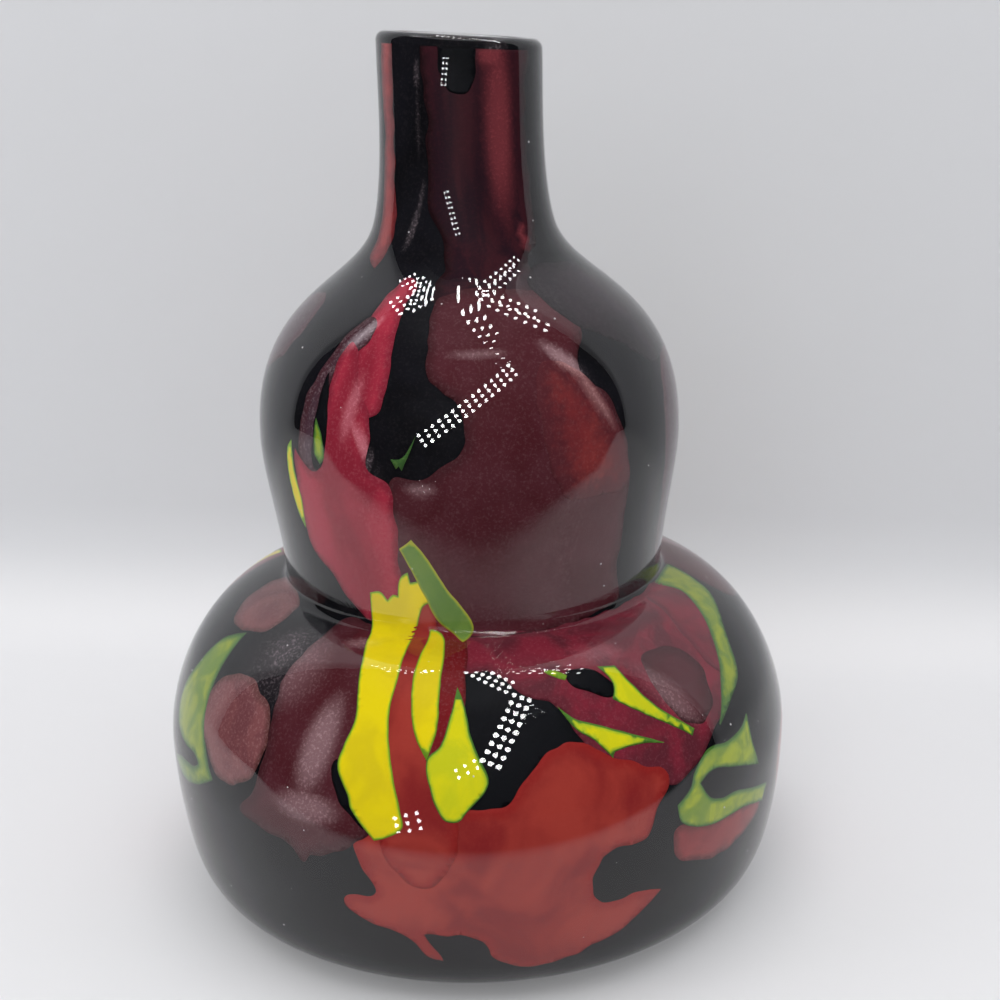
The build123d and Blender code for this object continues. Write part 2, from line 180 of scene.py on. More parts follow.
foldCentre = Vector((outline["waist"][0] + outline["waistFold"], outline["waist"][1]))
footEdge = (outline["footRadius"], 0)
lipStart = (outline["lipRadius"], outline["height"] - outline["lipBand"])
shoulderEnd = foldCentre - squareOut(heading["shoulder"], outline["waistFold"])
waistStart = foldCentre - squareOut(heading["waist"], outline["waistFold"])
heel, lowerBulb, upperBulb, neckBase = [
    outline[name] for name in ("heel", "lowerBulb", "upperBulb", "neckBase")]
floorRun = outline["floorRun"]
floorSpan = span((0, outline["floorRise"]), "level", floorRun, footEdge, "foot", floorRun)
lowerSpans = [
    span(footEdge, "foot", run["foot"], heel, "heel", run["heelBelow"]),
    span(heel, "heel", run["heelAbove"], lowerBulb, "upright", run["bulbBelow"]),
    span(lowerBulb, "upright", run["bulbAbove"], shoulderEnd, "shoulder", run["shoulder"]),
]
upperSpans = [
    span(waistStart, "waist", run["waist"], upperBulb, "upright", run["upperBelow"]),
    span(upperBulb, "upright", run["upperAbove"], neckBase, "neck", run["neckBelow"]),
    span(neckBase, "neck", run["neckAbove"], lipStart, "upright", run["lip"]),
]


def inset(points, depth):
    # the same span this far inside the wall: each leg of its control line moves square to itself
    legs = []
    for start, end in zip(points, points[1:]):
        along = (end - start).normalized()
        legs.append((start + Vector((-along.y, along.x)) * depth, along))
    moved = [legs[0][0]]
    for (first, firstWay), (second, secondWay) in zip(legs, legs[1:]):
        turn = firstWay.x * secondWay.y - firstWay.y * secondWay.x
        gap = second - first
        moved.append(first + firstWay * ((gap.x * secondWay.y - gap.y * secondWay.x) / turn))
    moved.append(legs[-1][0] + legs[-1][1] * (points[-1] - points[-2]).length)
    return moved


def curvePoints(points, count):
    a, b, c, d = points
    line = []
    for step in range(1, count + 1):
        t = step / count
        s = 1 - t
        line.append(a * s ** 3 + b * (3 * s * s * t) + c * (3 * s * t * t) + d * t ** 3)
    return line


def wallLine(depth, top):
    # the wall's line at this depth, from the foot edge up to a height
    line = [inset(lowerSpans[0], depth)[0]]
    for points in lowerSpans:
        line += curvePoints(inset(points, depth), steps["span"])
    turn = heading["waist"] - heading["shoulder"]
    for step in range(1, steps["fold"] + 1):
        angle = heading["shoulder"] + turn * step / steps["fold"]
        line.append(foldCentre - squareOut(angle, outline["waistFold"] + depth))
    for points in upperSpans:
        line += curvePoints(inset(points, depth), steps["span"])
    side, last = outline["lipRadius"] - depth, line[-1].y
    for step in range(1, steps["lip"] + 1):
        line.append(Vector((side, last + (top - last) * step / steps["lip"])))
    return line


def floorLine(depth):
    points = inset(floorSpan, depth)
    return [points[0]] + curvePoints(points, steps["floor"])


roundFullness = 0.5523


def roundedCorner(before, corner, after, radius, count=steps["corner"]):
    # points of a round that replaces a corner of the outline
    start = corner + (before - corner).normalized() * radius
    end = corner + (after - corner).normalized() * radius
    legs = [start.lerp(corner, roundFullness), end.lerp(corner, roundFullness)]
    return [start] + curvePoints([start, *legs, end], count)


def placeOn(line, share):
    # the place at a share of the line's own length
    lengths = [(b - a).length for a, b in zip(line, line[1:])]
    left = min(1, max(0, share)) * sum(lengths)
    for a, b, length in zip(line, line[1:], lengths):
        if left <= length:
            return a.lerp(b, left / length)
        left -= length
    return line[-1]


handWork = {
    "lipSlope": 0.075, "slopeFrom": 188, "wander": 0.35, "wanderRise": 60,
    "wanderStarts": (6, 30), "wanderEnds": (60, 90), "clearOfAxis": 1,
}


def handMade(point):
    # what the hand leaves: the lip is cut a little out of level, and nothing is quite round
    x, y, z = point
    z -= handWork["lipSlope"] * x * blend(handWork["slopeFrom"], outline["height"], z)
    turn = math.atan2(x, -y)
    wander = handWork["wander"] * math.sin(2 * turn + z / handWork["wanderRise"])
    wander *= blend(*handWork["wanderStarts"], z)
    wander *= 1 - blend(*handWork["wanderEnds"], z)
    around = math.hypot(x, y)
    if around > handWork["clearOfAxis"]:
        x, y = x * (1 - abs(wander) / around), y * (1 - abs(wander) / around)
    return (x, y, z)


def turned(radius, height, degrees):
    angle = math.radians(degrees)
    return (radius * math.sin(angle), -radius * math.cos(angle), height)


nearAxis = 0.01


def spinLine(name, line, material, segments=steps["round"]):
    # turns a line about the axis, faces outwards; ends that lie on the axis close the body
    points, rings = [], []
    for place in line:
        first = len(points)
        if place.x < nearAxis:
            points.append(handMade((0, 0, place.y)))
        else:
            points += [handMade(turned(place.x, place.y, 360 * k / segments))
                       for k in range(segments)]
        rings.append(range(first, len(points)))
    faces = []
    for low, high in zip(rings, rings[1:]):
        for k in range(segments):
            n = (k + 1) % segments
            if len(low) == 1:
                faces.append((low[0], high[n], high[k]))
            elif len(high) == 1:
                faces.append((low[k], low[n], high[0]))
            else:
                faces.append((low[k], low[n], high[n], high[k]))
    return meshObject(name, points, faces, material)


clearLook = {
    "waves": 34, "cords": 7, "cordShare": 0.06, "waveStrength": 0.045, "waveHeight": 1.0,
    "groundUpTo": (0.25, 0.9), "groundRoughness": 0.34, "roughness": 0.012,
}


# Clear soda-lime glass, gathered hot and fire polished: it gives the wet, deep gloss, and
# slow waves left by the block and the paddle make the reflections wander a little
def clearGlass():
    look = clearLook
    material, tree = newMaterial("clearSodaLimeGlassFirePolished")
    place = addNode(tree, "ShaderNodeTexCoord").outputs["Object"]
    slow = noiseOf(tree, place, look["waves"], 1.0, Roughness=0.4)
    cords = noiseOf(tree, place, look["cords"], 2.0, Roughness=0.5)
    waves = maths(tree, "MULTIPLY_ADD", cords, look["cordShare"], slow)
    wave = addNode(tree, "ShaderNodeBump", Strength=look["waveStrength"],
                   Distance=look["waveHeight"] * mm, Height=waves)
    # the foot is ground flat and stays matt
    height = addNode(tree, "ShaderNodeSeparateXYZ", Vector=place).outputs["Z"]
    low, high = [edge * mm for edge in look["groundUpTo"]]
    ground = addNode(tree, "ShaderNodeMapRange", _0=height, _1=low, _2=high,
                     _3=look["groundRoughness"], _4=look["roughness"])
    glass = addNode(tree, "ShaderNodeBsdfPrincipled", Base_Color=hexColour("#fbfcfb"), IOR=1.5,
                    Roughness=ground.outputs[0], Transmission_Weight=1.0,
                    Normal=wave.outputs[0])
    dress(tree, glass.outputs[0])
    return material


coatLook = {
    "clouds": (0.36, 0.64), "ragged": 2.4, "unevenRim": 0.9, "rimReach": (-0.35, 0.65),
    "lip": (0.12, 0.5), "grit": 0.75, "gritRange": (0.5, 0.72), "gritAndGlintInPatch": 0.75,
    "dentStrength": 0.5, "dentDepth": 0.5,
}


# Coloured soda-lime glass under the clear gather. It has no skin of its own to shine, so its
# gloss is low; where the mask says, it is lightened towards its speck colour as painted sheen and
# painted glints of foil and crushed-glass grains catching the light.
# Lengths are in millimetres: the rim's width, and the size of the patches of second colour.
def coatGlass(name, face, second, rim, rimWidth, patch=22, speckAndSheenHex="#a08088", speck=0.12,
              edgeHex=None, streak=1.0, paintedSheenShare=0.4):
    look = coatLook
    material, tree = newMaterial(name)
    place = addNode(tree, "ShaderNodeTexCoord").outputs["Object"]
    drawn = addNode(tree, "ShaderNodeMapping", Vector=place, Scale=(1, 1, streak)).outputs[0]
    clouds = noiseOf(tree, drawn, patch, 3.0, Roughness=0.55, Distortion=0.8)
    colour = mixColour(tree, smoothStep(tree, clouds, *look["clouds"]), face, second)
    # the rim of a chip thins out and takes the colour round it, unevenly
    edge, grainAndSheen = pointMark(tree, "edge"), pointMark(tree, "grainAndSheen")
    ragged = noiseOf(tree, place, look["ragged"], 2.0)
    uneven = maths(tree, "MULTIPLY_ADD", ragged, -rimWidth * look["unevenRim"], edge)
    reach = [rimWidth * share for share in look["rimReach"]]
    colour = mixColour(tree, smoothStep(tree, uneven, *reach), rim, colour)
    if edgeHex:
        colour = mixColour(tree, smoothStep(tree, edge, *look["lip"]), edgeHex, colour)
    # lighter specks, partly powder grit and partly painted glints: faint everywhere and strong in
    # the painted sheen patches
    grit = noiseOf(tree, place, look["grit"], 2.0, Roughness=0.7)
    low, high = look["gritRange"]
    gritAndGlintShare = addNode(tree, "ShaderNodeMapRange", _0=grit, _1=low, _2=high).outputs[0]
    speckAndGlintShare = maths(tree, "MULTIPLY_ADD", grainAndSheen, look["gritAndGlintInPatch"], speck)
    colour = mixColour(tree, maths(tree, "MULTIPLY", gritAndGlintShare, speckAndGlintShare), colour, speckAndSheenHex)
    # painted sheen: a lighter veil of the speck colour laid over the sheen patches
    colour = mixColour(tree, maths(tree, "MULTIPLY", grainAndSheen, paintedSheenShare), colour, speckAndSheenHex)
    dents = maths(tree, "MULTIPLY", grit, speckAndGlintShare)
    bump = addNode(tree, "ShaderNodeBump", Strength=look["dentStrength"],
                   Distance=look["dentDepth"] * mm, Height=dents)
    glass = addNode(tree, "ShaderNodeBsdfPrincipled", Base_Color=colour, Roughness=0.42,
                    Specular_IOR_Level=0.03, Normal=bump.outputs[0])
    dress(tree, glass.outputs[0])
    return material


# each glass's speck colour is also the colour of its painted sheen and painted glints
glasses = {
    "clear": clearGlass(),
    "lining": coatGlass("darkLiningGlassBlown", "#1d1215", "#140d10", "#140d10", 0.2, speck=0.03),
    "ground": coatGlass("blackGlassCoat", "#060609", "#0d0d12", "#060609", 0.2, patch=30,
                        speckAndSheenHex="#85777d", speck=0.03, paintedSheenShare=0.14),
    "black": coatGlass("blackGlassChip", "#07080b", "#0c0d11", "#07080b", 0.3, speckAndSheenHex="#4b4549",
                       speck=0.03, paintedSheenShare=0.1),
    "yellow": coatGlass("yellowOpaqueGlassChip", "#dcc711", "#cfba18", "#a9bf25", 0.9, patch=14,
                        speckAndSheenHex="#efe65c", speck=0.04, edgeHex="#6c9426"),
    "lemon": coatGlass("lemonOpaqueGlassChip", "#cfc815", "#bdbf1c", "#8fae2c", 1.2, patch=10,
                       speckAndSheenHex="#e6e056", speck=0.05, edgeHex="#47732c"),
    "lime": coatGlass("limeOpaqueGlassChip", "#9aa529", "#6f8830", "#557a33", 1.4, patch=9,
                      speckAndSheenHex="#cfd35a", speck=0.06, edgeHex="#3d622c"),
    "green": coatGlass("greenOpaqueGlassChip", "#8a962c", "#657f33", "#44682f", 2.2, patch=9,
                       speckAndSheenHex="#c3c95f", speck=0.06, edgeHex="#36572b"),
    "moss": coatGlass("mossGreenGlassChip", "#5b7a38", "#66813a", "#7f9a35", 0.8, patch=9,
                      speckAndSheenHex="#8fa35a", speck=0.06, edgeHex="#9a9a30"),
    "red": coatGlass("redGlassPowder", "#8c1a1e", "#9c201f", "#6b1619", 2.6, speckAndSheenHex="#b85456"),
    "band": coatGlass("pinkRedGlassPowder", "#9c2c3e", "#7f2030", "#7a2030", 2.6,
                      speckAndSheenHex="#cf7f8b", streak=0.4, paintedSheenShare=0.6),
    "panel": coatGlass("brownRedGlassPowder", "#7c2f2e", "#6b2629", "#4d2026", 11.0, patch=16,
                       speckAndSheenHex="#b98a8a", speck=0.05, paintedSheenShare=0.6),
    "flame": coatGlass("orangeRedGlassPowder", "#96352d", "#7a2021", "#84211f", 3.0, patch=26,
                       speckAndSheenHex="#b85648", speck=0.06),
    "crimson": coatGlass("crimsonGlassPowder", "#742231", "#54202a", "#5a202b", 3.4, patch=13,
                         speckAndSheenHex="#a5636d", speck=0.12, paintedSheenShare=0.5),
    "wine": coatGlass("wineGlassChip", "#74161b", "#651519", "#5a1518", 0.8),
    "maroon": coatGlass("maroonGlassPowder", "#4a2128", "#43181e", "#3c1a1f", 3.6, patch=20,
                        speckAndSheenHex="#ab8b90", speck=0.07, paintedSheenShare=0.55),
    "neck": coatGlass("darkWineGlassDrawnOut", "#200e17", "#31131a", "#1e0e12", 2.4, patch=5,
                      speckAndSheenHex="#7b343a", speck=0.05, streak=0.06, paintedSheenShare=0.75),
    "clay": coatGlass("rosyBrownGlassPowder", "#744547", "#63383c", "#54302f", 2.0, patch=12,
                      speckAndSheenHex="#a98285", speck=0.24),
    "mauve": coatGlass("mauveGlassPowder", "#45303a", "#3c2830", "#3f2027", 3.6, patch=16,
                       speckAndSheenHex="#a99aa0", speck=0.24, paintedSheenShare=0.7),
    "smoke": coatGlass("smokyBlackGlassPowder", "#241a20", "#1a1318", "#160f13", 4.0, patch=20,
                       speckAndSheenHex="#8d7f85", speck=0.1, paintedSheenShare=0.6),
    "rose": coatGlass("roseGlassPowder", "#7a2c30", "#8c3636", "#5d2024", 2.4, patch=12,
                      speckAndSheenHex="#b0686a", speck=0.14),
}
print("glasses mixed", len(glasses))


gatherLook = {
    "pontilRadius": 15, "pontilDepth": 1.6, "footSkip": 5, "footRound": 0.8, "lipStraight": 4,
    "lipFlat": 3, "lipOuterRound": 2.6, "lipInnerRound": 1.8, "behindCoat": 0.45,
    "lipUnderside": 0.4, "boreStep": 0.5,
}


def clearGather():
    # the thick clear coat: foot, outer wall and rolled lip outside; inside it runs a little
    # deeper than the colour coat's face, so that no air shows between the two
    look = gatherLook
    top, side = outline["height"], outline["lipRadius"]
    bore = side - hollowDepth
    line = []
    for step in range(steps["pontil"] + 1):
        share = step / steps["pontil"]
        line.append(Vector((look["pontilRadius"] * share,
                            look["pontilDepth"] * (1 - share) ** 2)))
    # the wall, less its first points, which the foot's round replaces, and its lip
    outer = wallLine(0, top - look["lipStraight"])[look["footSkip"]:-steps["lip"]]
    line += roundedCorner(Vector((0, 0)), Vector(footEdge), outer[1], look["footRound"])
    line += outer
    lipMiddle = Vector((side - look["lipFlat"], top))
    line += roundedCorner(Vector((side, 0)), Vector((side, top)), lipMiddle,
                          look["lipOuterRound"], steps["lipOuter"])
    line += roundedCorner(lipMiddle, Vector((bore, top)), Vector((bore, 0)),
                          look["lipInnerRound"], steps["lipInner"])
    underside = layerTop - look["lipUnderside"]
    innerDepth = coatDepth + look["behindCoat"]
    line += [Vector((bore, layerTop)), Vector((bore + look["boreStep"], underside))]
    line += wallLine(innerDepth, underside)[::-1] + floorLine(innerDepth)[-2::-1]
    gather = spinLine("clearGather", line, glasses["clear"])
    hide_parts("clear_casing")
    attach(gather, "root")
    # light for the coat goes straight through the clear glass; what is seen is still bent
    gather.visible_shadow = False
    gather.visible_diffuse = False


grainAndSheenPatches = {
    # where painted sheen and glints go, for foil and coarse powder catching the light, with their
    # grain: turn, share up the wall, half sizes, strength and how far the fold leans, in degrees of
    # turn for each share
    "upperLeftShoulder": (-35, 0.722, 2.2, 0.02, 1.0, 230),
    "upperLeft": (-32, 0.655, 2.2, 0.03, 0.6, 60),
    "upperLeftFold": (-27, 0.625, 1.6, 0.024, 1.0, -170),
    "upperMiddle": (-12, 0.592, 4, 0.006, 0.6, 0),
    "rightShoulder": (30.5, 0.694, 3.2, 0.02, 1.0, -300),
    "rightShoulderEdge": (37, 0.66, 1.8, 0.03, 0.6, -160),
    "shoulderSeam": (4, 0.705, 9, 0.004, 0.5, 0),
    "neckLeft": (-33, 0.975, 2.2, 0.014, 0.8, 0),
    "neckLeftRun": (-33, 0.93, 1.6, 0.03, 0.35, 0),
    "neckFold": (-36, 0.84, 3, 0.02, 0.9, 160),
    "neckFoldUp": (-31, 0.865, 2, 0.018, 0.7, 120),
    "neckRight": (42, 0.825, 2.6, 0.016, 0.9, 0),
    "neckBand": (30, 0.925, 12, 0.085, 0.85, 0),
    "neckBandTop": (25, 0.985, 12, 0.012, 1.0, 0),
    "blackSpeckle": (-47, 0.395, 6, 0.03, 0.9, 0),
    "lowerLeft": (-45, 0.385, 12, 0.045, 0.4, 0),
    "lowerSwirl": (-28.5, 0.325, 3.4, 0.045, 0.75, 30),
    "lowerSwirlFoot": (-29, 0.272, 6.5, 0.014, 0.7, 0),
    "lowerStreak": (-29, 0.425, 4, 0.009, 0.5, 400),
    "lowerRight": (40, 0.35, 3.5, 0.035, 0.5, -120),
    "lowerRightUp": (30, 0.405, 6, 0.01, 0.5, -300),
    "farSide": (112, 0.4, 5, 0.04, 0.6, 160),
    "back": (190, 0.69, 4, 0.02, 0.9, 300),
    "backLow": (176, 0.60, 3, 0.03, 0.7, -200),
    "backHeel": (150, 0.29, 5, 0.03, 0.6, 200),
    "farLeft": (228, 0.42, 4, 0.03, 0.7, 200),
    "farLeftUp": (240, 0.69, 2.5, 0.02, 0.9, -200),
}


grainAndSheenFades = (0.35, 1.25)


# strength of painted sheen and grain at this place on the coat
def grainAt(turn, share):
    strength = 0
    for middleTurn, middleShare, halfTurn, halfShare, most, lean in grainAndSheenPatches.values():
        away = (turn - middleTurn - lean * (share - middleShare) + 180) % 360 - 180
        reach = math.hypot(away / halfTurn, (share - middleShare) / halfShare)
        strength = max(strength, most * (1 - blend(*grainAndSheenFades, reach)))
    return strength


def runsAlong(line):
    # how far along the line each of its points lies
    lengths = [0]
    for a, b in zip(line, line[1:]):
        lengths.append(lengths[-1] + (b - a).length)
    return lengths


def markPoints(piece, name, values):
    marks = piece.data.attributes.new(name, "FLOAT", "POINT")
    for k, value in enumerate(values):
        marks.data[k].value = value


farFromEdge = 9


def coatGather():
    # the black coat between the clear gather and the lining
    outer = wallLine(coatDepth, layerTop)
    line = floorLine(coatDepth)[:-1] + outer + wallLine(liningDepth, layerTop)[::-1]
    line += floorLine(liningDepth)[-2::-1]
    coat = spinLine("blackCoat", line, glasses["ground"], steps["coatRound"])
    runs = runsAlong(outer)
    grainAndSheenValues = []
    for vertex in coat.data.vertices:
        x, y, z = vertex.co / mm
        around = math.hypot(x, y)
        row = min(range(len(outer)),
                  key=lambda i: abs(outer[i].y - z) + abs(outer[i].x - around))
        grainAndSheenValues.append(grainAt(math.degrees(math.atan2(x, -y)), runs[row] / runs[-1]))
    # painted sheen and grain strength at each point of the coat
    markPoints(coat, "grainAndSheen", grainAndSheenValues)
    markPoints(coat, "edge", [farFromEdge] * len(grainAndSheenValues))
    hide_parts("black_ground")
    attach(coat, "root")


liningOverlap = 0.05


def liningGather():
    # the first gather, whose inside holds the water
    depth = liningDepth - liningOverlap
    line = floorLine(depth)[:-1] + wallLine(depth, layerTop)
    line += wallLine(hollowDepth, layerTop)[::-1] + floorLine(hollowDepth)[-2::-1]
    lining = spinLine("darkLining", line, glasses["lining"])
    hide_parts("inner_lining")
    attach(lining, "root")


clearGather()
coatGather()
liningGather()
print("gathers blown")

coatLine = wallLine(coatDepth, outline["height"])
coatLength = runsAlong(coatLine)[-1]

